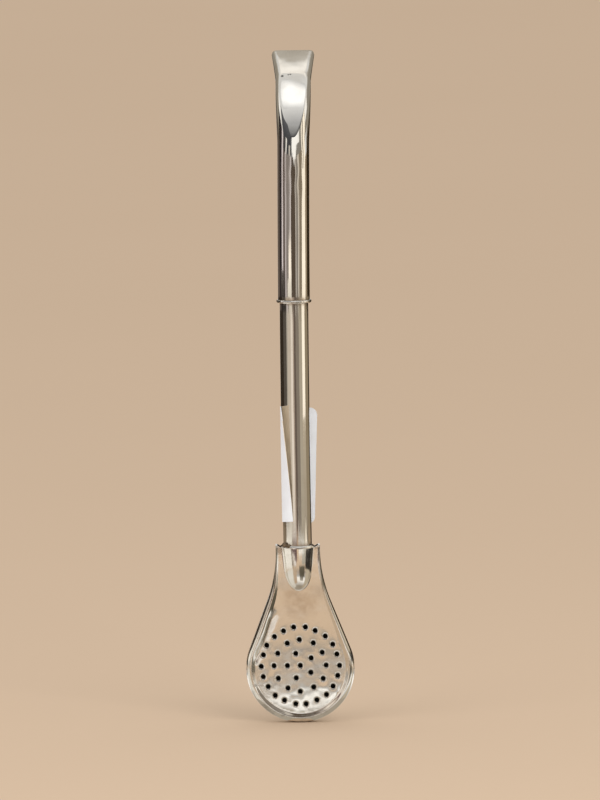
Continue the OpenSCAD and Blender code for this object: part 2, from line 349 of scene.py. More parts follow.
# the inside of the shells is painted near black as shade, seen through the holes
insideShade = {"dark": (0.012, 0.010, 0.008, 1), "light": (0.035, 0.027, 0.020, 1)}


def makeShadedInside():
    f = Finish("inside_painted_shade")
    patch = f.grain(scale=900, detail=4)
    f.set(
        Base_Color=f.blend(patch, insideShade["dark"], insideShade["light"]),
        Metallic=0.3,
        Roughness=0.6 + patch * 0.2,
    )
    return f.look


solderTone = {"brown": (0.075, 0.046, 0.028, 1), "bare": (0.37, 0.28, 0.19, 1)}


def makeSolder():
    f = Finish("browned_solder")
    patch = f.between(f.grain(scale=1300, detail=5), low=0.35, high=0.68)
    lumps = f.grain(scale=2400, detail=4)
    f.set(
        Base_Color=f.blend(patch, solderTone["brown"], solderTone["bare"]),
        Metallic=0.85,
        Roughness=0.28 + patch * 0.25,
        Normal=f.bump(lumps, distance=0.00012),
    )
    return f.look


# light and dark tone of each side of the label, the tone of its fibres, and its shine
paper = {
    "front": ((0.84, 0.90, 0.98, 1), (0.80, 0.85, 0.93, 1)),
    # the back is painted a tan shade, for the inner side of the loose fold
    "back": ((0.80, 0.72, 0.59, 1), (0.75, 0.66, 0.53, 1)),
    "fibre": (0.70, 0.69, 0.68, 1), "shine": 0.3,
}


def makePaper(name, light, dark):
    f = Finish(name)
    fibre = f.grain(scale=7000, stretch=(1, 1, 0.2), turn=(0, 0.4, 0), detail=4)
    felt = f.grain(scale=2600, detail=5)
    cloud = f.between(f.grain(scale=240, detail=4), low=0.35, high=0.75)
    tone = f.blend(cloud, light, dark)
    f.set(
        Base_Color=f.blend(f.between(fibre, low=0.66, high=0.8) * 0.25, tone, paper["fibre"]),
        Roughness=0.72 + felt * 0.15,
        Specular_IOR_Level=paper["shine"],
        Normal=f.bump(fibre * 0.5 + felt, distance=0.00002),
    )
    return f.look


# levels of the brown bands where the tubes meet the ring and the neck, with how far the brown reaches, and
# dark specks in the crease of the lip
brownBands = {
    "stem": ((0.0505, 0.0022), (0.1196, 0.0014)),
    "mouth": ((0.1205, 0.0022),),
    "ring": ((0.1195, 0.0006),),
}
creaseSpecks = (
    ((-0.0031, 0.0112, 0.1829), 0.00055),
    ((-0.0014, 0.0114, 0.1834), 0.00035),
    ((-0.0008, 0.0115, 0.1835), 0.0004),
)
stemSilver = makeTubeSilver("stem_silver", brownBands["stem"])
mouthSilver = makeTubeSilver("mouth_silver", brownBands["mouth"], creaseSpecks)
ringSilver = makeTubeSilver("ring_silver", brownBands["ring"])
sheetSilver = makeSheetSilver("sheet_silver")
shadedInside = makeShadedInside()
brownedSolder = makeSolder()
labelPaper = makePaper("label_paper", *paper["front"])
labelFoldShade = makePaper("label_fold_painted_shade", *paper["back"])
print("finishes mixed")


lowerStem = {
    "radius": 4.05, "wall": 0.5, "foot": 43.4, "top": 134.5, "edge": 0.12, "sides": 144, "cuts": 140,
    "ripple": 0.02, "rippleAcross": 400, "rippleAlong": 42,
}


def makeLowerStem():
    s = lowerStem
    clearSelection()
    bpy.ops.mesh.primitive_cylinder_add(
        vertices=s["sides"], radius=s["radius"] * mm, depth=(s["top"] - s["foot"]) * mm,
        end_fill_type="NOTHING", location=(0, 0, (s["top"] + s["foot"]) / 2 * mm),
    )
    stem = nameIt("lower_stem_tube")
    editPiece(stem)
    pick(stem, "edges", lambda e: abs(e.verts[0].co.z - e.verts[1].co.z) > mm)
    bpy.ops.mesh.subdivide(number_cuts=s["cuts"])
    leaveEdit()

    # the drawn tube isn't quite round, and waves a little on its way up
    def ripple(p):
        across, along = s["rippleAcross"], s["rippleAlong"]
        lump = noise.noise(Vector((p.x * across, p.y * across, p.z * along)))
        swell = 1 + s["ripple"] / s["radius"] * lump
        return Vector((p.x * swell, p.y * swell, p.z))

    moveEach(stem, ripple)
    useModifier(stem, "SOLIDIFY", thickness=s["wall"] * mm, offset=-1)
    roundEdges(stem, s["edge"], 2)
    smoothPiece(stem)
    handOver(stem, "lower_stem", "polished_silver", stemSilver)


# lengths along this tube count from the end of its straight part
upperTube = {
    "radius": 4.5, "wall": 0.4, "foot": 120.5, "straight": 27.3, "flatRun": 9.0, "edge": 0.13, "sides": 216,
    "bendRadius": 29.0, "bendAngle": math.radians(58), "bendFlat": 1.7,
    "facetStart": 17.6, "facetRun": 17.4, "facetCorner": 0.14, "softCorner": 0.4, "softHalf": 2,
    "crown": 0.2, "askew": math.radians(-4), "squareFrom": 8, "squareRun": 10,
    "lipLength": 12.0, "lipThickness": 3.7, "lipCorner": 1.1, "lipStart": 0.6,
    "straightSteps": 26, "flatSteps": 16, "bendSteps": 100, "startSteps": 4, "lipSteps": 22,
    "wave": 0.022, "waveAcross": 420, "waveAlong": 55,
    "dent": 0.06, "dentFoot": 5, "dentTop": 24, "dentFade": 9, "dentAcross": 480, "dentAlong": 0.24,
}


def spaced(start, run, count):
    return [start + run * i / count for i in range(count)]


# places along the tube, close together where it bends and where the lip starts
def tubeStations():
    s = upperTube
    bend = s["bendRadius"] * s["bendAngle"]
    lip = s["flatRun"] + bend
    marks = spaced(-s["straight"], s["straight"], s["straightSteps"])
    marks += spaced(0, s["flatRun"], s["flatSteps"])
    marks += spaced(s["flatRun"], bend, s["bendSteps"])
    marks += spaced(lip, s["lipStart"], s["startSteps"])
    marks += spaced(lip + s["lipStart"], s["lipLength"] - s["lipStart"], s["lipSteps"])
    return marks + [lip + s["lipLength"]]


# a height that the press holds under its limit, with a rounded corner where it starts to
def pressDown(height, limit, corner):
    over = max(corner - abs(height - limit), 0.0)
    return min(height, limit) - over ** 2 / (4 * corner)


def pressedPlace(along, turn):
    s = upperTube
    bend = s["bendRadius"] * s["bendAngle"]
    lip = s["flatRun"] + bend
    lipFlat = s["radius"] - s["lipThickness"] / 2
    share = clamp((along - lip) / s["lipLength"])
    curl = 0.5 * share + 0.5 * share ** 2
    facet = math.sin(math.pi / 2 * clamp((along - s["facetStart"]) / s["facetRun"]))
    front = s["bendFlat"] * facet + (lipFlat - s["bendFlat"]) * curl
    back = lipFlat * share
    lean = s["bendAngle"] * clamp((along - s["flatRun"]) / bend)
    past = max(along - lip, 0)
    # what is pressed in at the front and the back goes out at the sides
    half = s["radius"] + (math.pi / 2 - 1) * (front + back) / 2
    x = half * math.cos(turn)
    y = s["radius"] * math.sin(turn)
    # the press stood a little askew at the bend, and square at the lip
    near = ease((along - lip + s["squareFrom"]) / s["squareRun"])
    askew = s["askew"] * (1 - near)
    across = x * math.cos(askew) - y * math.sin(askew)
    up = x * math.sin(askew) + y * math.cos(askew)
    # the left corner of the facet is rubbed down more than the right one
    rubbed = s["facetCorner"] + s["softCorner"] * ease(-across / s["softHalf"])
    corner = rubbed + (s["lipCorner"] - rubbed) * near
    crown = s["crown"] * (across / s["radius"]) ** 2 * facet * (1 - share)
    up = pressDown(up, s["radius"] - front - crown, corner)
    up = -pressDown(-up, s["radius"] - back, corner)
    x = across * math.cos(askew) + up * math.sin(askew)
    y = up * math.cos(askew) - across * math.sin(askew)
    middleY = s["bendRadius"] * (1 - math.cos(lean)) + past * math.sin(lean)
    middleZ = (
        s["foot"] + s["straight"] + min(along, s["flatRun"])
        + s["bendRadius"] * math.sin(lean) + past * math.cos(lean)
    )
    return Vector((x, middleY - y * math.cos(lean), middleZ + y * math.sin(lean))) * mm


def makeUpperTube():
    s = upperTube
    marks = tubeStations()
    clearSelection()
    bpy.ops.mesh.primitive_circle_add(
        vertices=s["sides"], radius=s["radius"] * mm, location=(0, 0, s["foot"] * mm)
    )
    tube = nameIt("upper_tube_mouthpiece")
    editPiece(tube)
    bpy.ops.mesh.select_all(action="SELECT")
    for low, high in zip(marks, marks[1:]):
        bpy.ops.mesh.extrude_region_move(TRANSFORM_OT_translate={"value": (0, 0, (high - low) * mm)})
    bpy.ops.mesh.select_all(action="SELECT")
    bpy.ops.mesh.normals_make_consistent(inside=False)
    leaveEdit()

    # the straight tube is pressed and bent in one go, each ring by its length along the tube
    def press(p):
        along = p.z / mm - s["foot"] - s["straight"]
        pressed = pressedPlace(along, math.atan2(-p.y, p.x))
        where = Vector((p.x * s["waveAcross"], p.y * s["waveAcross"], p.z * s["waveAlong"]))
        wave = s["wave"] * noise.noise(where)
        # the press left shallow dents low on the front
        dented = ease(along / s["dentFoot"]) * ease((s["dentTop"] - along) / s["dentFade"])
        dented *= ease(-p.y / mm / s["radius"])
        where = Vector((p.x * s["dentAcross"], along * s["dentAlong"], 2.5))
        wave += s["dent"] * dented * noise.noise(where)
        return pressed + Vector((p.x, p.y, 0)).normalized() * wave * mm

    moveEach(tube, press)
    useModifier(tube, "SOLIDIFY", thickness=s["wall"] * mm, offset=-1)
    roundEdges(tube, s["edge"], 3)
    smoothPiece(tube)
    handOver(tube, "upper_tube", "polished_silver", mouthSilver)


jointRing = {
    "height": 120.05, "reach": 4.5, "wire": 0.45, "sides": 180, "wireSides": 28,
    "stray": 0.05, "strayGrain": 2.2, "lump": 0.13, "lumpGrain": 8.5,
    "seamTurn": math.radians(70), "seamDip": 0.12, "seamWidth": 0.06,
}


def makeJointRing():
    s = jointRing
    clearSelection()
    bpy.ops.mesh.primitive_torus_add(
        major_radius=s["reach"] * mm, minor_radius=s["wire"] * mm,
        major_segments=s["sides"], minor_segments=s["wireSides"], location=(0, 0, s["height"] * mm),
    )
    ring = nameIt("joint_ring_wire")

    # wound by hand from wire: it strays up and down, and dips where its ends were soldered
    def wind(p):
        turn = math.atan2(p.y, p.x)
        around = Vector((math.cos(turn), math.sin(turn), 0))
        middle = around * s["reach"] * mm + Vector((0, 0, s["height"] * mm))
        fromSeam = turn - s["seamTurn"]
        gap = math.atan2(math.sin(fromSeam), math.cos(fromSeam))
        dip = 1 - s["seamDip"] * math.exp(-(gap / s["seamWidth"]) ** 2)
        lump = 1 + s["lump"] * noise.noise(around * s["lumpGrain"])
        stray = s["stray"] * mm * noise.noise(around * s["strayGrain"] + Vector((0, 0, 7)))
        return middle + (p - middle) * dip * lump + Vector((0, 0, stray))

    moveEach(ring, wind)
    smoothPiece(ring)
    handOver(ring, "joint_ring", "ring_silver", ringSilver)


strainer = {
    # outline, and how close its points and the face's points lie
    "bowl": 15.4, "height": 50.6, "neck": 6.3, "neckStraight": 1.4, "neckSweep": 0.78,
    "edgeMesh": 0.33, "faceMesh": 0.42, "bulgeMesh": 0.23, "meshGap": 0.6, "meshMerge": 0.00001,
    # pressed rim
    "wall": 0.5, "depth": 2.2, "rim": 2.6, "neckRim": 0.55, "leftRim": 0.55, "rightRim": -0.2,
    "flankFoot": 19, "flankTop": 46, "flankFade": 9, "proud": 0.35, "shoulder": 0.18, "crest": 0.56,
    "roll": math.radians(64), "seam": 0.35, "seamGroove": 0.12, "fallCurve": 0.55,
    "edgeSteps": 10, "bandSteps": 9, "fallSteps": 10,
    # socket, and the finer points on and round it
    "bulge": 4.6, "ball": 41.9, "noseTop": 48.5, "noseCurve": 1.8, "fillet": 0.3, "narrow": 0.1,
    "taper": 0.15, "mouthWide": 0.09, "mouthRun": 0.6, "calmFrom": 0.84, "closeHalf": 5.2, "closeFoot": 36.6,
    # top of the neck
    "neckDip": 0.5, "dipAt": 4.85, "dipWidth": 0.5, "dipFrom": 46,
    "topRound": 0.42, "topEdge": 0.62, "topRise": 0.5,
    # holes
    "hole": 0.61, "holeRoll": 0.42, "rollSteps": 4, "holeCollar": 0.5, "holeSides": 32, "holeLevel": 16.3,
    "holeStep": 3.6667, "holeCounts": (5, 12, 22), "holeTurns": (180, 90, 98.2),
    "holeStray": 0.12, "strayOut": (137, 40), "strayRound": (211, 75),
    "dimple": 0.02, "dimpleReach": 3, "dimpleSpread": 1.2,
    # face: dished, dented more on the left and below, rolled off along the left flank
    "dish": 0.15, "dishReach": 12.6, "dent": 0.08, "dentGrain": 0.17, "smallDent": 0.42, "smallGrain": 0.45,
    "calm": 0.35, "calmLevel": 25, "calmLean": 0.35, "calmRun": 9, "calmNeck": 8,
    "rollOff": 0.3, "rollAt": (-14.3, 21.12), "rollIn": (0.9288, -0.3706), "rollReach": 4.9, "rollRun": 2.4,
    "rollFoot": 16, "rollTop": 33, "rollFade": 4,
}


# points across and up, each with its direction inwards: the right half from the bottom up,
# then both halves from the left end of the neck to the right
def strainerOutline():
    s = strainer
    climb = s["height"] - s["neckStraight"] - s["bowl"]
    sweep = s["neckSweep"] * (s["neck"] ** 2 + climb ** 2 - s["bowl"] ** 2) / (2 * (s["bowl"] - s["neck"]))
    sweepX = s["neck"] + sweep
    flank = math.atan2(climb, sweepX) - math.acos((s["bowl"] + sweep) / math.hypot(sweepX, climb))
    half = []
    count = round(s["bowl"] * (math.pi / 2 + flank) / s["edgeMesh"])
    for i in range(count + 1):
        a = -math.pi / 2 + (math.pi / 2 + flank) * i / count
        x, z = s["bowl"] * math.cos(a), s["bowl"] + s["bowl"] * math.sin(a)
        half.append((x, z, -math.cos(a), -math.sin(a)))
    x0, z0, inX, inZ = half[-1]
    x1 = sweepX - sweep * math.cos(flank)
    z1 = s["height"] - s["neckStraight"] - sweep * math.sin(flank)
    count = round(math.hypot(x1 - x0, z1 - z0) / s["edgeMesh"])
    half += [(x0 + (x1 - x0) * i / count, z0 + (z1 - z0) * i / count, inX, inZ) for i in range(1, count)]
    count = round(sweep * flank / s["edgeMesh"])
    for i in range(count, -1, -1):
        a = flank * i / count
        x = sweepX - sweep * math.cos(a)
        z = s["height"] - s["neckStraight"] - sweep * math.sin(a)
        half.append((x, z, -math.cos(a), -math.sin(a)))
    count = round(s["neckStraight"] / s["edgeMesh"])
    low = half[-1][1]
    half += [(s["neck"], low + (s["height"] - low) * i / count, -1.0, 0.0) for i in range(1, count + 1)]
    return [(-x, z, -inX, inZ) for x, z, inX, inZ in reversed(half[1:])] + half


def rimWidth(x, z):
    s = strainer
    if z < s["bowl"]:
        return s["rim"]
    widen = clamp((abs(x) - s["neck"]) / (s["bowl"] - s["neck"]))
    flank = ease((z - s["flankFoot"]) / s["flankFade"]) * ease((s["flankTop"] - z) / s["flankFade"])
    broader = s["leftRim"] if x < 0 else s["rightRim"]
    return s["neckRim"] + (s["rim"] - s["neckRim"]) * math.sqrt(widen) + flank * broader


# section of the rim as (inwards, outwards) pairs with how much the face's form counts there:
# a rolled outer edge, a broad band that rises to the crest, and a short fall to the face
def rimSection(width):
    s = strainer
    shoulder, crest = s["shoulder"] * width, s["crest"] * width
    proud = s["proud"] * width / s["rim"]
    section = [((s["seamGroove"], 0.0), 0.0)]
    for i in range(s["edgeSteps"] + 1):
        a = s["roll"] * i / s["edgeSteps"]
        share = math.sin(a) / math.sin(s["roll"])
        across = shoulder * (1 - math.cos(a)) / (1 - math.cos(s["roll"]))
        section.append(((across, s["seam"] + (s["depth"] - s["seam"]) * share), 0.0))
    for i in range(1, s["bandSteps"] + 1):
        t = i / s["bandSteps"]
        section.append(((shoulder + (crest - shoulder) * t, s["depth"] + proud * (1 - (1 - t) ** 2)), 0.0))
    for i in range(1, s["fallSteps"] + 1):
        t = i / s["fallSteps"]
        fall = s["fallCurve"] * (1 + math.cos(math.pi * t)) / 2 + (1 - s["fallCurve"]) * (1 - t)
        section.append(((crest + (width - crest) * t, s["depth"] + proud * fall), t * t))
    inner = (width - s["wall"]) / width
    return [(o, (s["wall"] + o[0] * inner, max(o[1] - s["wall"], 0.0)), share) for o, share in section]


def holePlaces():
    s = strainer
    places = [(0.0, s["holeLevel"])]

    # the holes were punched by eye, so each strays a little, by degrees for its hole and its circle
    def sway(degrees, i, k):
        return math.sin(math.radians(degrees[0] * i + degrees[1] * k))

    for k, count in enumerate(s["holeCounts"]):
        for i in range(count):
            away = (k + 1) * s["holeStep"] + s["holeStray"] * sway(s["strayOut"], i, k)
            turn = math.radians(s["holeTurns"][k] + 360 * i / count)
            turn += s["holeStray"] / away * sway(s["strayRound"], i, k)
            places.append((away * math.cos(turn), s["holeLevel"] + away * math.sin(turn)))
    return places


# how far the face of a shell lies from the flat: dished in the bowl, dented, and pulled in round each hole
def faceForm(x, z, holes, seed):
    s = strainer
    middle = math.hypot(x, z - s["holeLevel"]) / s["dishReach"]
    form = -s["dish"] * (1 - middle ** 2) if middle < 1 else 0.0
    low = s["calm"] + (1 - s["calm"]) * ease((s["calmLevel"] - z - s["calmLean"] * x) / s["calmRun"])
    dent = s["dent"] * ease((s["height"] - z) / s["calmNeck"]) * low
    broad, small = s["dentGrain"], s["smallGrain"]
    form += dent * noise.noise(Vector((x * broad, z * broad, seed)))
    form += s["smallDent"] * dent * noise.noise(Vector((x * small, z * small, seed + 5)))
    # the left flank of the face rolls off towards the rim
    flank = (x - s["rollAt"][0]) * s["rollIn"][0] + (z - s["rollAt"][1]) * s["rollIn"][1]
    roll = s["rollOff"] * ease((s["rollReach"] - flank) / s["rollRun"])
    form -= roll * ease((z - s["rollFoot"]) / s["rollFade"]) * ease((s["rollTop"] - z) / s["rollFade"])
    for hx, hz in holes:
        gap = (x - hx) ** 2 + (z - hz) ** 2
        if gap < s["dimpleReach"] ** 2:
            form -= s["dimple"] * math.exp(-gap / s["dimpleSpread"])
    return form


# the face with the socket's bulge: heights of its outside and inside, where the inside lies across,
# and how much the face's own form counts there
def bulgeForm(x, z):
    s = strainer
    foot = math.sqrt((s["bulge"] + s["fillet"]) ** 2 - (s["depth"] + s["fillet"]) ** 2)
    # it narrows a little on its way down, and its closed end is drawn out to a nose
    down = clamp((s["height"] - z) / (s["height"] - s["ball"] + foot))
    nose = max((s["noseTop"] - z) / (s["noseTop"] - s["ball"] + foot), 0.0) ** s["noseCurve"]
    mouth = s["mouthWide"] * (1 - clamp(down / s["mouthRun"])) ** 2
    away = math.hypot(x / (1 + mouth - s["narrow"] * down), nose * foot)
    if away >= foot:
        return s["depth"], s["depth"] - s["wall"], 1.0, 1.0
    if away > foot * s["bulge"] / (s["bulge"] + s["fillet"]):
        out = math.sqrt(max(s["fillet"] ** 2 - (foot - away) ** 2, 0.0))
        level = s["depth"] + s["fillet"] - out
        across = (foot - away) / s["fillet"] * s["wall"]
        under = level - out / s["fillet"] * s["wall"]
        calm = clamp((away / foot - s["calmFrom"]) / (1 - s["calmFrom"]))
        return level, under, (away - across) / away, calm
    level = math.sqrt(s["bulge"] ** 2 - away ** 2)
    share = (s["bulge"] - s["wall"]) / s["bulge"]
    # it grows lower, too
    lower = s["taper"] * down ** 2 * (level - s["depth"] - s["fillet"] * 0.5)
    return level - max(lower, 0), level * share - max(lower, 0), share, 0.0


def insidePolygon(x, z, corners):
    inside = False
    for (x0, z0), (x1, z1) in zip(corners, corners[1:] + corners[:1]):
        if (z0 > z) != (z1 > z) and x < (x1 - x0) * (z - z0) / (z1 - z0) + x0:
            inside = not inside
    return inside


def makeShell(name, node, outward, holes, seed):
    s = strainer
    outside, inside, faces = [], [], []

    # the top edge of the neck dips where the flat ears meet the bulge
    def settle(p):
        dip = s["neckDip"] * math.exp(-(((abs(p[0]) - s["dipAt"]) / s["dipWidth"]) ** 2))
        near = clamp((p[1] - s["dipFrom"]) / (s["height"] - s["dipFrom"]))
        return Vector((p[0], outward * p[2], p[1] - dip * near ** 2)) * mm

    def point(outer, inner):
        over = clamp((outer[1] - s["height"]) / s["topEdge"] + 1)
        rolled = s["topRound"] * over ** 2 * clamp((outer[2] - s["depth"]) / s["topRise"])
        outer = (outer[0], outer[1], outer[2] - rolled)
        outside.append(settle(outer))
        inside.append(settle(inner))
        return len(outside) - 1

    collar = s["hole"] + s["holeCollar"]

    def clearOfHoles(x, z):
        return all((x - hx) ** 2 + (z - hz) ** 2 > collar ** 2 for hx, hz in holes)

    # pressed edge: the rim's section at each place of the outline
    rows, faceEdge = [], []
    for x, z, inX, inZ in strainerOutline():
        row = []
        section = rimSection(rimWidth(x, z))
        for (outIn, outUp), (inIn, inUp), share in section:
            px, pz = x + inX * outIn, z + inZ * outIn
            lift = share * faceForm(px, pz, holes, seed) if share else 0.0
            row.append(point((px, pz, outUp + lift), (x + inX * inIn, z + inZ * inIn, inUp + lift)))
        faceEdge.append((px, pz))
        rows.append(row)
    for first, second in zip(rows, rows[1:]):
        for i in range(len(first) - 1):
            faces.append((first[i], first[i + 1], second[i + 1], second[i]))

    # flat corners of the face: its edge, the top of the neck, and a collar round each hole
    x1, top = faceEdge[-1]
    count = round(2 * x1 / s["bulgeMesh"])
    border = faceEdge + [(x1 - 2 * x1 * i / count, top) for i in range(1, count)]
    corners = [Vector(p) for p in border]
    edges = [(i, (i + 1) % len(corners)) for i in range(len(corners))]
    collars = []
    for hx, hz in holes:
        start = len(corners)
        collars.append(start)
        for i in range(s["holeSides"]):
            a = 2 * math.pi * i / s["holeSides"]
            corners.append(Vector((hx + collar * math.cos(a), hz + collar * math.sin(a))))
            edges.append((start + i, start + (i + 1) % s["holeSides"]))
    for share in (1 / 3, 2 / 3, 1):
        corners += [Vector((x1 - 2 * x1 * i / count, top - share * s["topEdge"])) for i in range(1, count)]
    tree = kdtree.KDTree(len(corners))
    for i, p in enumerate(corners):
        tree.insert((p.x, p.y, 0), i)
    tree.balance()

    # points between them on a honeycomb, closer together on the bulge
    for step, onBulge in ((s["faceMesh"], False), (s["bulgeMesh"], True)):
        line = 0
        z = 0.0
        while z < top:
            x = -s["bowl"] + (line % 2) * step / 2
            while x < s["bowl"]:
                close = bulgeForm(x, z)[3] < 1 or (abs(x) < s["closeHalf"] and z > s["closeFoot"])
                apart = tree.find((x, z, 0))[2] > s["meshGap"] * step
                if close == onBulge and apart and insidePolygon(x, z, border) and clearOfHoles(x, z):
                    corners.append(Vector((x, z)))
                x += step
            z += step * math.sqrt(0.75)
            line += 1
    flat = delaunay_2d_cdt(corners, edges, [], 0, s["meshMerge"])

    # the points that the rim already has are shared with it
    index, cornerAt = [], {}
    for p, given in zip(flat[0], flat[3]):
        if given and given[0] < len(rows):
            index.append(rows[given[0]][-1])
            continue
        level, under, share, calm = bulgeForm(p.x, p.y)
        form = calm * faceForm(p.x, p.y, holes, seed)
        below = p.y if p.y > s["ball"] else s["ball"] + (p.y - s["ball"]) * share
        index.append(point((p.x, p.y, level + form), (p.x * share, below, under + form)))
        for i in given:
            cornerAt[i] = index[-1]
    # a face counts unless it lies outside the border, or has all its corners on one collar
    collarOf = {}
    for k, start in enumerate(collars):
        for i in range(s["holeSides"]):
            collarOf[cornerAt[start + i]] = k
    for face in flat[2]:
        x = sum(flat[0][i].x for i in face) / len(face)
        z = sum(flat[0][i].y for i in face) / len(face)
        corner = tuple(index[i] for i in face)
        within = {collarOf.get(i, -1 - n) for n, i in enumerate(corner)}
        if len(within) > 1 and len(set(corner)) == 3 and insidePolygon(x, z, border):
            faces.append(corner)

    # rolled edge of each hole
    for (hx, hz), start in zip(holes, collars):
        ring = [cornerAt[start + i] for i in range(s["holeSides"])]
        for k in range(s["rollSteps"] + 1):
            b = math.pi / 2 * k / s["rollSteps"]
            reach = s["hole"] + s["holeRoll"] * (1 - math.sin(b))
            sink = s["holeRoll"] * (1 - math.cos(b))
            nextRing = []
            for i in range(s["holeSides"]):
                a = 2 * math.pi * i / s["holeSides"]
                px, pz = hx + reach * math.cos(a), hz + reach * math.sin(a)
                form = s["depth"] + faceForm(px, pz, holes, seed)
                nextRing.append(point((px, pz, form - sink), (px, pz, form - s["wall"])))
            for i in range(s["holeSides"]):
                j = (i + 1) % s["holeSides"]
                faces.append((ring[i], ring[j], nextRing[j], nextRing[i]))
            ring = nextRing

    # both walls, and the strips that close them along every open edge
    count = len(outside)
    used = {}
    for face in faces:
        for a, b in zip(face, face[1:] + face[:1]):
            used.setdefault((min(a, b), max(a, b)), []).append((a, b))
    strips = [(b, a, a + count, b + count) for pair in used.values() if len(pair) == 1 for a, b in pair]
    walls = faces + [tuple(i + count for i in reversed(face)) for face in faces] + strips
    mesh = bpy.data.meshes.new(name)
    mesh.from_pydata(outside + inside, [], walls)
    shell = bpy.data.objects.new(name, mesh)
    scene.collection.objects.link(shell)
    editPiece(shell, "FACE")
    bpy.ops.mesh.select_all(action="SELECT")
    bpy.ops.mesh.delete_loose()
    bpy.ops.mesh.select_all(action="SELECT")
    bpy.ops.mesh.normals_make_consistent(inside=False)
    leaveEdit()
    smoothPiece(shell, angle=50)
    handOver(shell, node, "pressed_silver", sheetSilver, shadedInside)
    for polygon in shell.data.polygons:
        if all(i >= count for i in polygon.vertices):
            polygon.material_index = 1


neckSolder = {
    # turn round the stem, height, size along the stem, out from it and round it
    "lumps": (
        (214, 50.75, 0.75, 0.62, 0.95), (232, 50.5, 0.55, 0.5, 0.8), (200, 50.3, 0.6, 0.6, 0.9),
        (188, 49.9, 0.7, 0.9, 0.9), (172, 49.6, 0.8, 1.0, 0.9), (338, 50.35, 0.4, 0.42, 0.9),
        (352, 49.4, 0.9, 1.0, 0.9), (10, 49.4, 0.8, 0.9, 0.9), (60, 50.4, 0.4, 0.4, 0.9),
        (120, 50.4, 0.4, 0.4, 0.9), (90, 50.45, 0.35, 0.35, 1.1), (150, 50.3, 0.45, 0.5, 0.9),
    ),
    "reach": 4.45, "stem": 4.06, "grid": 0.11, "rough": 0.09, "roughGrain": 900, "roughRise": 0.6,
}


def makeNeckSolder():
    s = neckSolder
    clearSelection()
    for turn, level, tall, out, along in s["lumps"]:
        a = math.radians(turn)
        bpy.ops.mesh.primitive_ico_sphere_add(
            subdivisions=4, radius=mm,
            location=(s["reach"] * math.cos(a) * mm, s["reach"] * math.sin(a) * mm, level * mm),
            rotation=(0, 0, a), scale=(out, along, tall),
        )
        bpy.context.object.name = "solderLump"
    for lump in [o for o in scene.objects if o.name.startswith("solderLump")]:
        lump.select_set(True)
    bpy.ops.object.join()
    solder = nameIt("neck_solder_lumps")
    useModifier(solder, "REMESH", mode="VOXEL", voxel_size=s["grid"] * mm)
    useModifier(solder, "SMOOTH", factor=0.5, iterations=4)

    # it ran rough, and it lies against the stem
    def run(p):
        away = Vector((p.x, p.y, 0))
        lump = noise.noise(p * s["roughGrain"]) * s["rough"] * mm
        reach = max(away.length + lump, s["stem"] * mm)
        return away.normalized() * reach + Vector((0, 0, p.z + s["roughRise"] * lump))

    moveEach(solder, run)
    smoothPiece(solder, angle=60)
    handOver(solder, "neck_solder", "solder", brownedSolder)


paperLabel = {
    "radius": 4.155, "thick": 0.15, "foot": 56.1, "height": 32.9, "rise": 1.55,
    "tabFoot": 5.1, "tabTop": 6.2, "corner": 1.9, "fold": 5.4, "peel": 0.96,
    "cockle": 0.06, "cockleAcross": 0.3, "tabCockle": 0.12, "foldCockle": 0.15, "columns": 110, "rows": 120,
}


def makePaperLabel():
    s = paperLabel
    turnLength = s["radius"] * math.pi / 2
    clearSelection()
    bpy.ops.mesh.primitive_grid_add(x_subdivisions=s["columns"], y_subdivisions=s["rows"], size=1)
    label = nameIt("paper_label_sheet")

    # the paper ripples a little where it is loose
    def cockle(u, z, along, seed):
        return s["cockle"] * (1 + noise.noise(Vector((u * s["cockleAcross"], z * along, seed))))

    # the flat sheet is wrapped: a tab behind the stem, a quarter turn round it,
    # and a fold that peels open upwards
    def wrap(p):
        row = p.y + 0.5
        tab = s["tabFoot"] + (s["tabTop"] - s["tabFoot"]) * row
        length = tab + turnLength + s["fold"]
        u = (p.x + 0.5) * length - tab
        fromEnd = u + tab
        drop = 0.0
        if fromEnd < s["corner"]:
            drop = s["corner"] - math.sqrt(s["corner"] ** 2 - (s["corner"] - fromEnd) ** 2)
        z = s["foot"] + s["rise"] * fromEnd / length + drop + (s["height"] - 2 * drop) * row
        if u < 0:
            x = -u
            y = s["radius"] + ease(-u / tab) * cockle(u, z, s["tabCockle"], 3)
        elif u < turnLength:
            a = math.pi / 2 * (1 + u / turnLength)
            x = s["radius"] * math.cos(a)
            y = s["radius"] * math.sin(a)
        else:
            bend = (1 - s["peel"] * row) / s["radius"]
            out = u - turnLength
            b = out * bend
            x = -s["radius"] + (1 - math.cos(b)) / bend
            x -= row * out / s["fold"] * cockle(u, z, s["foldCockle"], 9)
            y = -math.sin(b) / bend
        return Vector((x, y, z)) * mm

    moveEach(label, wrap)
    useModifier(label, "SOLIDIFY", thickness=s["thick"] * mm, offset=0)
    editPiece(label, "FACE")
    bpy.ops.mesh.select_all(action="SELECT")
    bpy.ops.mesh.normals_make_consistent(inside=False)
    leaveEdit()
    smoothPiece(label)
    handOver(label, "paper_label", "paper", labelPaper, labelFoldShade)
    # the inner side of the loose fold, painted tan as the shade it lies in
    for polygon in label.data.polygons:
        if polygon.center.y < 0 and polygon.normal.x > 0.2:
            polygon.material_index = 1


makeLowerStem()
makeUpperTube()
makeJointRing()
makeShell("front_strainer_shell", "front_shell", -1, holePlaces(), 1.3)
makeShell("back_strainer_shell", "back_shell", 1, [], 4.7)
makeNeckSolder()
makePaperLabel()
print("pieces done")


floor = {"size": 60, "colour": (0.622, 0.471, 0.342, 1), "cloud": (0.97, 0.97, 0.96, 1), "shine": 0.0}


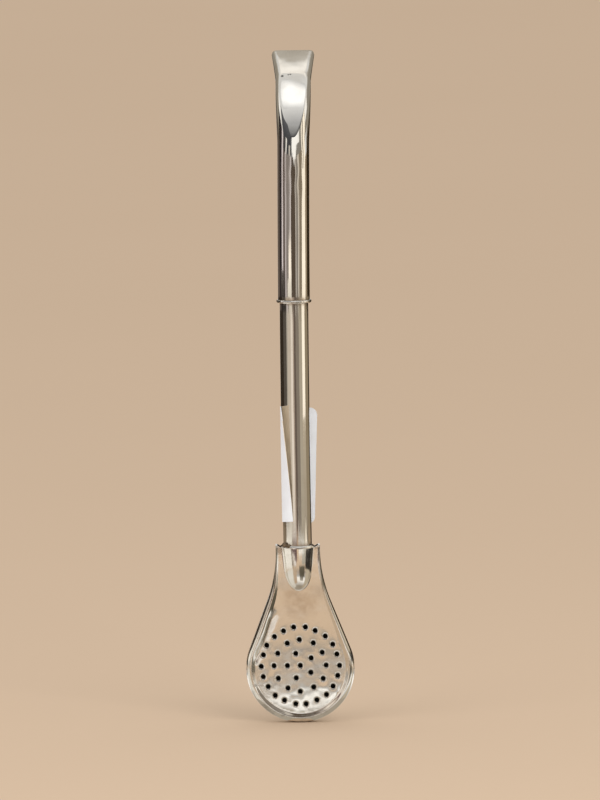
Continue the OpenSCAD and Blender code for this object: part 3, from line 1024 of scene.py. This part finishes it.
def makeFloor():
    clearSelection()
    bpy.ops.mesh.primitive_plane_add(size=floor["size"])
    sheet = nameIt("paper_floor")
    editPiece(sheet, "FACE")
    bpy.ops.mesh.subdivide(number_cuts=8)
    leaveEdit()
    f = Finish("floor_paper")
    tooth = f.grain(scale=1500, detail=4)
    cloud = f.grain(scale=3, detail=3)
    cloudy = tuple(part * share for part, share in zip(floor["colour"], floor["cloud"]))
    f.set(
        Base_Color=f.blend(cloud, floor["colour"], cloudy),
        Roughness=0.85,
        Specular_IOR_Level=floor["shine"],
        Normal=f.bump(tooth, distance=0.00003),
    )
    sheet.data.materials.append(f.look)


# curved studio cards round the object, which only its metal sees:
# turn from the front to the right, levels, distance, and colour or colours from the foot up
studioCards = {
    "left_flag": (-170, -98, 0.034, 0.098, 0.2, (0.035, 0.026, 0.018)),
    "high_left_flag": (-170, -122, 0.098, 0.167, 0.2, (0.13, 0.10, 0.08)),
    "high_left_black": (-122, -94, 0.098, 0.235, 0.199, (0.028, 0.022, 0.022)),
    "left_flag_top": (-174, -112, 0.167, 0.2, 0.2, (0.07, 0.055, 0.04), (0.40, 0.36, 0.29)),
    "right_low": (92, 134, 0.0, 0.0295, 0.2, (0.30, 0.24, 0.16)),
    "low_left_flag": (-158, -98, 0.0, 0.018, 0.2, (0.05, 0.04, 0.03)),
    "low_left_brown": (-158, -98, 0.018, 0.034, 0.2, (0.25, 0.19, 0.13)),
    "left_grey": (-98, -66, 0.034, 0.098, 0.2, (0.10, 0.085, 0.07)),
    "left_edge": (-66, -56, 0.034, 0.098, 0.2, (0.42, 0.38, 0.32)),
    "pale_card": (-56, -29, 0.034, 0.098, 0.2, (0.60, 0.52, 0.43)),
    "pale_strip": (-29, -13, 0.034, 0.098, 0.2, (0.86, 0.76, 0.66)),
    "pale_edge": (-13, -4, 0.034, 0.098, 0.2, (0.46, 0.37, 0.30)),
    "slit": (-4, 11, 0.034, 0.098, 0.2, (0.14, 0.105, 0.085)),
    "grey_card": (11, 36, 0.034, 0.098, 0.2, (0.25, 0.21, 0.17)),
    "khaki_card": (36, 63, 0.034, 0.098, 0.2, (0.46, 0.40, 0.31)),
    "label_glow": (63, 92, 0.034, 0.066, 0.2, (0.40, 0.34, 0.26), (0.52, 0.44, 0.33)),
    "softbox": (63, 92, 0.066, 0.33, 0.2, (1.18, 1.07, 0.90)),
    "right_return": (92, 134, 0.034, 0.098, 0.2, (0.30, 0.24, 0.16)),
    "back_flag": (134, 174, 0.0, 0.167, 0.2, (0.035, 0.023, 0.012)),
    "back_flag_top": (112, 174, 0.167, 0.2, 0.2, (0.07, 0.05, 0.03), (0.40, 0.36, 0.29)),
    "low_left": (-98, -44, 0.0, 0.024, 0.2, (0.60, 0.56, 0.50)),
    "low_streak": (-44, -29, 0.0, 0.024, 0.2, (0.40, 0.37, 0.33)),
    "low_right": (28, 62, 0.004, 0.024, 0.2, (0.46, 0.42, 0.35)),
    "low_softbox": (63, 92, 0.0, 0.0295, 0.2, (1.1, 1.02, 0.90)),
    "low_cream": (-98, -41, 0.024, 0.034, 0.2, (0.80, 0.74, 0.65)),
    "low_pale": (-41, -6, 0.022, 0.0295, 0.2, (0.95, 0.88, 0.82)),
    "low_white": (6, 60, 0.026, 0.0295, 0.2, (1.0, 0.97, 0.90)),
    "neck_pale": (-41, -6, 0.0295, 0.034, 0.2, (0.56, 0.48, 0.41)),
    "neck_plum": (-6, 7, 0.0295, 0.034, 0.2, (0.15, 0.10, 0.08)),
    "neck_light": (7, 15, 0.0295, 0.034, 0.2, (0.56, 0.47, 0.40)),
    "neck_brown": (15, 24, 0.0295, 0.034, 0.2, (0.18, 0.14, 0.11)),
    "neck_khaki": (24, 66, 0.0295, 0.034, 0.2, (0.40, 0.345, 0.27)),
    "neck_softbox": (66, 81, 0.0295, 0.034, 0.2, (1.1, 0.98, 0.80)),
    "neck_gap": (81, 96, 0.0295, 0.034, 0.2, (0.17, 0.13, 0.08)),
    "neck_right": (96, 134, 0.0295, 0.034, 0.2, (0.38, 0.28, 0.19)),
    "socket_cream": (-100, -44, 0.017, 0.0401, 0.1, (0.98, 0.93, 0.84)),
    "socket_line": (-44, -38, 0.022, 0.0401, 0.1, (0.26, 0.21, 0.16)),
    "socket_plum": (-38, -6, 0.0332, 0.0401, 0.1, (0.15, 0.09, 0.085)),
    "socket_plum_tip": (-21, -6, 0.0295, 0.0332, 0.1, (0.15, 0.09, 0.085)),
    "socket_pink": (-38, -21, 0.0285, 0.0332, 0.1, (0.84, 0.75, 0.66)),
    "socket_white": (6, 55, 0.0205, 0.0294, 0.198, (1.05, 1.02, 0.95)),
    "socket_black": (55, 140, 0.0175, 0.0345, 0.1, (0.03, 0.026, 0.022)),
    "high_left_foot": (-108, -62, 0.098, 0.111, 0.198, (0.03, 0.025, 0.022), (0.10, 0.085, 0.075)),
    "high_left_strip": (-94, -80, 0.098, 0.235, 0.2, (0.74, 0.66, 0.66)),
    "high_left_gap": (-80, -64, 0.098, 0.235, 0.2, (0.13, 0.10, 0.085)),
    "high_pale": (-64, -49, 0.098, 0.20, 0.2, (0.55, 0.49, 0.48)),
    "high_pale_gap": (-49, -34, 0.098, 0.20, 0.2, (0.26, 0.225, 0.205)),
    "high_pale_low": (-41, -18, 0.098, 0.108, 0.199, (0.66, 0.62, 0.53), (0.90, 0.83, 0.72)),
    "high_flame": (-34, -18, 0.108, 0.119, 0.2, (1.15, 1.04, 0.90)),
    "high_pale_mid": (-34, -27, 0.119, 0.20, 0.2, (0.36, 0.32, 0.30)),
    "high_pale_strip": (-27, -18, 0.119, 0.20, 0.2, (0.68, 0.62, 0.60)),
    "high_slit": (-18, 8, 0.098, 0.155, 0.2, (0.10, 0.075, 0.055)),
    "high_slit_top": (-18, -1, 0.155, 0.2, 0.2, (0.10, 0.08, 0.065)),
    "high_tail": (-1, 8, 0.155, 0.19, 0.2, (0.12, 0.095, 0.08), (0.95, 0.92, 0.87)),
    "high_line": (8, 17, 0.098, 0.20, 0.2, (0.56, 0.51, 0.45)),
    "high_grey": (17, 32, 0.098, 0.20, 0.2, (0.27, 0.24, 0.21)),
    "high_strip": (32, 42, 0.098, 0.20, 0.2, (0.66, 0.59, 0.50)),
    "high_khaki": (42, 63, 0.098, 0.20, 0.2, (0.26, 0.21, 0.15)),
    "softbox_slit": (70, 76, 0.148, 0.33, 0.199, (0.22, 0.18, 0.13)),
    "high_return": (92, 112, 0.098, 0.167, 0.2, (0.36, 0.28, 0.19)),
    "high_back": (112, 134, 0.098, 0.167, 0.2, (0.035, 0.022, 0.009)),
    "top_left_flag": (-82, -22, 0.20, 0.46, 0.2, (0.05, 0.05, 0.055), (0.12, 0.12, 0.13)),
    "top_left_line": (-56, -47, 0.2, 0.255, 0.199, (0.85, 0.81, 0.76)),
    "top_left_glow": (-36, -27, 0.2, 0.235, 0.199, (0.62, 0.58, 0.52)),
    "top_slit": (-22, -13, 0.20, 0.27, 0.2, (0.09, 0.085, 0.08), (0.2, 0.2, 0.2)),
    "top_front": (-13, 30, 0.215, 0.31, 0.2, (1.10, 1.08, 1.04)),
    "top_tail": (-3, 22, 0.19, 0.215, 0.2, (1.10, 1.08, 1.04)),
    "top_right": (30, 44, 0.235, 0.31, 0.2, (1.05, 1.02, 0.97)),
    "top_right_grey": (22, 63, 0.20, 0.235, 0.2, (0.26, 0.24, 0.21)),
    "top_right_dim": (44, 63, 0.235, 0.30, 0.2, (0.34, 0.32, 0.28)),
    "top_shade_foot": (-75, 75, 0.26, 0.33, 0.22, (0.05, 0.05, 0.055)),
    "top_shade": (-75, 75, 0.33, 0.51, 0.22, (0.05, 0.05, 0.055), (0.44, 0.44, 0.44)),
    "left_wing": (-165, -88, 0.2, 0.34, 0.21, (0.26, 0.23, 0.19), (0.42, 0.39, 0.33)),
    "right_wing": (92, 165, 0.2, 0.34, 0.21, (0.26, 0.23, 0.19), (0.42, 0.39, 0.33)),
    "left_glint": (-116, -90, 0.235, 0.36, 0.205, (1.05, 1.02, 0.97)),
    "right_glint": (94, 116, 0.235, 0.36, 0.205, (1.05, 1.02, 0.97)),
    "far_low": (-26, 30, 0.007, 0.04, 0.42, (1.05, 1.0, 0.94)),
}
# rings and fans of card that lie on the floor: turns, nearest and furthest edge, level, colour,
# and the colour that it fades to in the middle
floorCards = {
    "foot": (-180, 180, 0.004, 0.045, 0.0004, (1.0, 0.985, 0.96), (0.42, 0.37, 0.30)),
    "white": (-180, 180, 0.045, 0.075, 0.0004, (1.14, 1.11, 1.06)),
    "grey": (-180, 180, 0.075, 0.095, 0.0004, (0.45, 0.44, 0.42)),
    "light": (-180, 180, 0.095, 0.118, 0.0004, (0.60, 0.50, 0.41)),
    "dim": (-180, 180, 0.118, 0.132, 0.0004, (0.29, 0.255, 0.215)),
    "warm": (-180, 180, 0.132, 0.150, 0.0004, (0.58, 0.48, 0.37)),
    "olive": (9, 52, 0.080, 0.20, 0.0008, (0.11, 0.095, 0.065)),
    "near_olive": (14, 44, 0.05, 0.080, 0.0008, (0.14, 0.12, 0.085), (0.66, 0.62, 0.55)),
    "brown": (-45, -12, 0.035, 0.20, 0.0008, (0.57, 0.43, 0.30)),
    "tan": (62, 95, 0.02, 0.19, 0.0008, (0.55, 0.47, 0.35)),
    "cream": (-95, -40, 0.02, 0.15, 0.0008, (0.82, 0.78, 0.70)),
    "pale": (-40, -13, 0.20, 0.40, 0.0008, (0.98, 0.92, 0.86)),
}
# ovals of card overhead: level, half sizes from side to side and from front to back,
# the middle in the same order, its colour, and the colour it fades to from halfway out to the edge
hungCards = {
    "awning": (0.5, 0.26, 0.21, -0.02, -0.30, (0.44, 0.44, 0.445), (0.78, 0.775, 0.77)),
    "overhead": (0.52, 0.072, 0.09, -0.03, -0.018, (1.28, 1.28, 1.28), (0.62, 0.62, 0.62)),
    "back": (0.52, 0.2, 0.036, 0, 0.172, (1.08, 1.04, 0.98), (0.80, 0.77, 0.72)),
    "wall": (0.51, 0.3, 0.13, 0, 0.335, (0.45, 0.415, 0.36), (0.52, 0.48, 0.42)),
}
dome = {"radius": 0.9, "foot": -0.01, "colour": (0.76, 0.755, 0.74)}
cardMake = {"arcSides": 720, "arcSlack": 0.1, "lift": 0.0005, "ovalSides": 96}


# an arc of edges on a circle, for a card to be drawn out of
def makeArc(name, start, stop, radius, level):
    clearSelection()
    bpy.ops.mesh.primitive_circle_add(vertices=cardMake["arcSides"], radius=radius, location=(0, 0, level))
    card = nameIt(name)
    editPiece(card, "VERT")
    middle, half = (start + stop) / 2, (stop - start) / 2

    def outsideArc(v):
        turn = math.degrees(math.atan2(v.co.x, -v.co.y))
        return abs((turn - middle + 180) % 360 - 180) > half + cardMake["arcSlack"]

    pick(card, "verts", outsideArc)
    bpy.ops.mesh.delete(type="VERT")
    bpy.ops.mesh.select_all(action="SELECT")
    return card


def finishCard(card, f, colour):
    glow = f.add("ShaderNodeEmission", {}, {"Color": colour, "Strength": 1.0})
    f.feed(f.tree.nodes["Material Output"].inputs["Surface"], Wire(f, glow.outputs[0]))
    card.data.materials.append(f.look)
    card.visible_camera = card.visible_diffuse = card.visible_shadow = False


def makeStudioCards():
    for name, (start, stop, low, high, radius, *colours) in studioCards.items():
        card = makeArc("card_" + name, start, stop, radius, low + cardMake["lift"])
        bpy.ops.mesh.extrude_region_move(TRANSFORM_OT_translate={"value": (0, 0, high - low)})
        leaveEdit()
        f = Finish(card.name + "_light")
        colour = (*colours[0], 1)
        if len(colours) > 1:
            colour = f.blend(f.between(f.axis("Z"), low, high), colour, (*colours[1], 1))
        finishCard(card, f, colour)


def makeFloorCards():
    for name, (start, stop, near, far, level, *colours) in floorCards.items():
        card = makeArc("card_floor_" + name, start, stop, near, level)
        bpy.ops.mesh.extrude_region_move()
        bpy.ops.transform.resize(value=(far / near, far / near, 1), center_override=(0, 0, 0))
        leaveEdit()
        f = Finish(card.name + "_light")
        colour = (*colours[0], 1)
        if len(colours) > 1:
            colour = f.blend(f.oval((0, 0, level), far, far), colour, (*colours[1], 1))
        finishCard(card, f, colour)


def makeHungCards():
    for name, (level, across, along, side, middle, colour, edge) in hungCards.items():
        clearSelection()
        bpy.ops.mesh.primitive_circle_add(
            vertices=cardMake["ovalSides"], radius=1, fill_type="NGON", location=(side, middle, level)
        )
        bpy.ops.transform.resize(value=(across, along, 1))
        card = nameIt("card_" + name)
        f = Finish(card.name + "_light")
        soft = f.oval((side, middle, level), across, along)
        finishCard(card, f, f.blend(soft, (*edge, 1), (*colour, 1)))


def makeDome():
    clearSelection()
    bpy.ops.mesh.primitive_uv_sphere_add(segments=64, ring_count=32, radius=dome["radius"])
    shell = nameIt("card_dome")
    editPiece(shell, "VERT")
    pick(shell, "verts", lambda v: v.co.z < dome["foot"])
    bpy.ops.mesh.delete(type="VERT")
    leaveEdit()
    finishCard(shell, Finish("card_dome_light"), (*dome["colour"], 1))


makeFloor()
makeStudioCards()
makeFloorCards()
makeHungCards()
makeDome()
print("floor laid, cards set up")

studio = {
    "world": (1.0, 0.993, 0.98, 1), "worldLevel": 0.905, "aim": (0, 0, 0.08),
    # place, size, power and colour of each lamp
    "lamps": {
        "key_lamp": ((0.6, -1.05, 0.7), 0.7, 5.6, (1, 0.98, 0.95)),
        "fill_lamp": ((-0.9, -0.9, 0.5), 0.8, 3.2, (0.97, 0.98, 1.0)),
    },
}
scene.world = bpy.data.worlds.new("soft_room")
scene.world.use_nodes = True
room = scene.world.node_tree.nodes["Background"]
room.inputs["Color"].default_value = studio["world"]
room.inputs["Strength"].default_value = studio["worldLevel"]


def addLamp(name, place, size, power, colour):
    clearSelection()
    bpy.ops.object.light_add(type="AREA", location=place)
    lamp = bpy.context.object
    lamp.name = name
    lamp.data.size = size
    lamp.data.energy = power
    lamp.data.color = colour
    lamp.rotation_euler = (Vector(studio["aim"]) - Vector(place)).to_track_quat("-Z", "Y").to_euler()
    lamp.visible_glossy = False


for lampName, settings in studio["lamps"].items():
    addLamp(lampName, *settings)

view = {
    "target": (0.0008, 0, 0.0918), "away": 4.0, "lift": math.radians(6), "roll": math.radians(-0.7),
    "lens": 635.7, "sensor": 36, "clipStart": 0.05, "clipEnd": 200,
}
bpy.ops.object.camera_add()
camera = bpy.context.object
camera.name = "photo_camera"
target = Vector(view["target"])
spot = target + Vector((0, -math.cos(view["lift"]), math.sin(view["lift"]))) * view["away"]
camera.matrix_world = (
    Matrix.Translation(spot)
    @ (target - spot).to_track_quat("-Z", "Y").to_matrix().to_4x4()
    @ Matrix.Rotation(view["roll"], 4, "Z")
)
camera.data.lens = view["lens"]
camera.data.sensor_width = view["sensor"]
camera.data.clip_start = view["clipStart"]
camera.data.clip_end = view["clipEnd"]
scene.camera = camera
scene.view_settings.view_transform = "Standard"
print("studio lit, camera placed")
